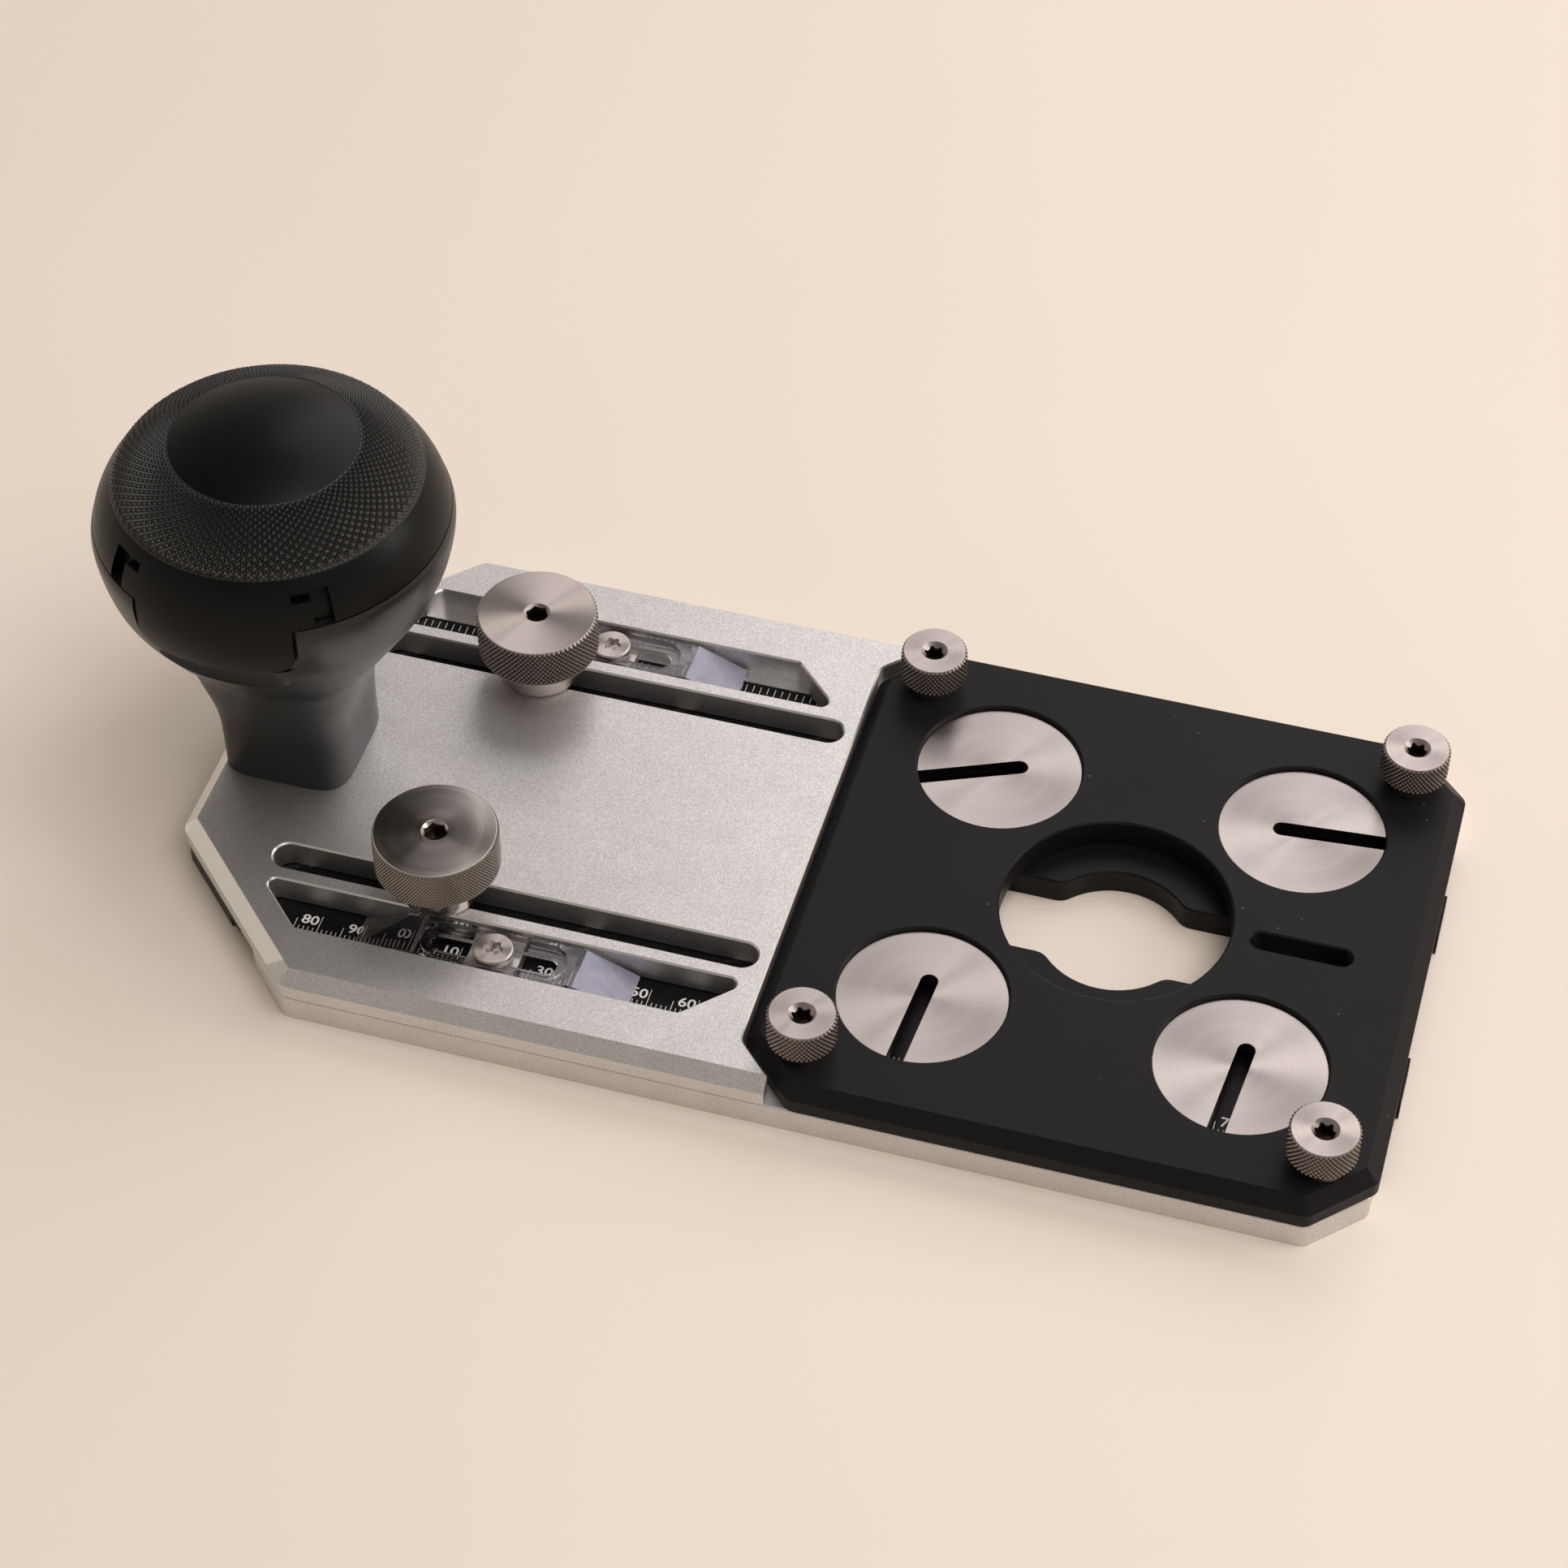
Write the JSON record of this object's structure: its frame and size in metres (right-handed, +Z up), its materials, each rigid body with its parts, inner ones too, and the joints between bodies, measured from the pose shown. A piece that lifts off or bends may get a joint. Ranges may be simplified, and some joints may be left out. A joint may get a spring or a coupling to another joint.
{
  "type": "router table",
  "caption": "Flat two-plate router base with a sliding scale underneath, slotted steel discs, clear cursors, knurled clamps and a ball handle with a hinged lid.",
  "frame": {"origin": "on the table surface under the middle of the whole object", "axes": "+X from the handle to the router plate, +Y from the front rail to the back rail, +Z up"},
  "size_m": [0.2741, 0.126, 0.1],
  "materials": {
    "silver_anodised": "bead-blasted, clear anodised",
    "black_anodised": "bead-blasted, black anodised",
    "steel": "turned stainless steel",
    "knurled_steel": "turned and knurled",
    "brass": "turned",
    "acrylic": "clear, polished",
    "handle_polymer": "matt black"
  },
  "bodies": {
    "base": {"top_plate": "silver_anodised", "router_plate": "black_anodised", "front_rail": "silver_anodised", "back_rail": "silver_anodised", "front_rail_screws": "steel", "back_rail_screws": "steel", "handle_body": "handle_polymer", "cap_hinge_pin": "steel", "handle_screws": "steel", "handle_inserts": "brass", "disc_ring_back_left": "steel", "disc_ring_back_right": "steel", "disc_ring_front_left": "steel", "disc_ring_front_right": "steel"},
    "slide": {"slide": "black_anodised"},
    "handle_cap": {"handle_cap": "handle_polymer"},
    "disc_back_left": {"disc_back_left": "steel"},
    "thumb_screw_back_left": {"thumb_screw_back_left": "knurled_steel"},
    "disc_back_right": {"disc_back_right": "steel"},
    "thumb_screw_back_right": {"thumb_screw_back_right": "knurled_steel"},
    "disc_front_left": {"disc_front_left": "steel"},
    "thumb_screw_front_left": {"thumb_screw_front_left": "knurled_steel"},
    "disc_front_right": {"disc_front_right": "steel"},
    "thumb_screw_front_right": {"thumb_screw_front_right": "knurled_steel"},
    "front_clamp": {"front_clamp_knob": "knurled_steel", "front_clamp_stud": "steel"},
    "front_cursor": {"front_cursor": "acrylic"},
    "front_cursor_screw": {"front_cursor_screw": "steel"},
    "back_clamp": {"back_clamp_knob": "knurled_steel", "back_clamp_stud": "steel"},
    "back_cursor": {"back_cursor": "acrylic"},
    "back_cursor_screw": {"back_cursor_screw": "steel"}
  },
  "joints": [
    {"name": "slide_travel", "type": "slide", "parent": "base", "child": "slide", "axis": [1, 0, 0], "range_m": [-0.03, 0.06]},
    {"name": "cap_hinge", "type": "hinge", "parent": "base", "child": "handle_cap", "pos_m": [-0.1011, 0.0364, 0.075], "axis": [-1, 0, 0], "range_deg": [0, 100]},
    {"name": "disc_turn_back_left", "type": "hinge", "parent": "base", "child": "disc_back_left", "pos_m": [0.0415, 0.032, 0.0098], "axis": [0, 0, 1], "continuous": true},
    {"name": "thumb_turn_back_left", "type": "hinge", "parent": "base", "child": "thumb_screw_back_left", "pos_m": [0.0222, 0.0513, 0.0122], "axis": [0, 0, 1], "continuous": true},
    {"name": "disc_turn_back_right", "type": "hinge", "parent": "base", "child": "disc_back_right", "pos_m": [0.1055, 0.032, 0.0098], "axis": [0, 0, 1], "continuous": true},
    {"name": "thumb_turn_back_right", "type": "hinge", "parent": "base", "child": "thumb_screw_back_right", "pos_m": [0.1248, 0.0513, 0.0122], "axis": [0, 0, 1], "continuous": true},
    {"name": "disc_turn_front_left", "type": "hinge", "parent": "base", "child": "disc_front_left", "pos_m": [0.0415, -0.032, 0.0098], "axis": [0, 0, 1], "continuous": true},
    {"name": "thumb_turn_front_left", "type": "hinge", "parent": "base", "child": "thumb_screw_front_left", "pos_m": [0.0222, -0.0513, 0.0122], "axis": [0, 0, 1], "continuous": true},
    {"name": "disc_turn_front_right", "type": "hinge", "parent": "base", "child": "disc_front_right", "pos_m": [0.1055, -0.032, 0.0098], "axis": [0, 0, 1], "continuous": true},
    {"name": "thumb_turn_front_right", "type": "hinge", "parent": "base", "child": "thumb_screw_front_right", "pos_m": [0.1248, -0.0513, 0.0122], "axis": [0, 0, 1], "continuous": true},
    {"name": "front_clamp_turn", "type": "hinge", "parent": "slide", "child": "front_clamp", "pos_m": [-0.0593, -0.032, 0.0122], "axis": [0, 0, 1], "continuous": true},
    {"name": "front_cursor_travel", "type": "slide", "parent": "base", "child": "front_cursor", "axis": [1, 0, 0], "range_m": [-0.011, 0.011]},
    {"name": "front_cursor_screw_turn", "type": "hinge", "parent": "base", "child": "front_cursor_screw", "pos_m": [-0.044, -0.04405, 0.009], "axis": [0, 0, 1], "continuous": true},
    {"name": "back_clamp_turn", "type": "hinge", "parent": "slide", "child": "back_clamp", "pos_m": [-0.0593, 0.032, 0.0122], "axis": [0, 0, 1], "continuous": true},
    {"name": "back_cursor_travel", "type": "slide", "parent": "base", "child": "back_cursor", "axis": [1, 0, 0], "range_m": [-0.011, 0.011]},
    {"name": "back_cursor_screw_turn", "type": "hinge", "parent": "base", "child": "back_cursor_screw", "pos_m": [-0.0473, 0.04405, 0.009], "axis": [0, 0, 1], "continuous": true}
  ]
}
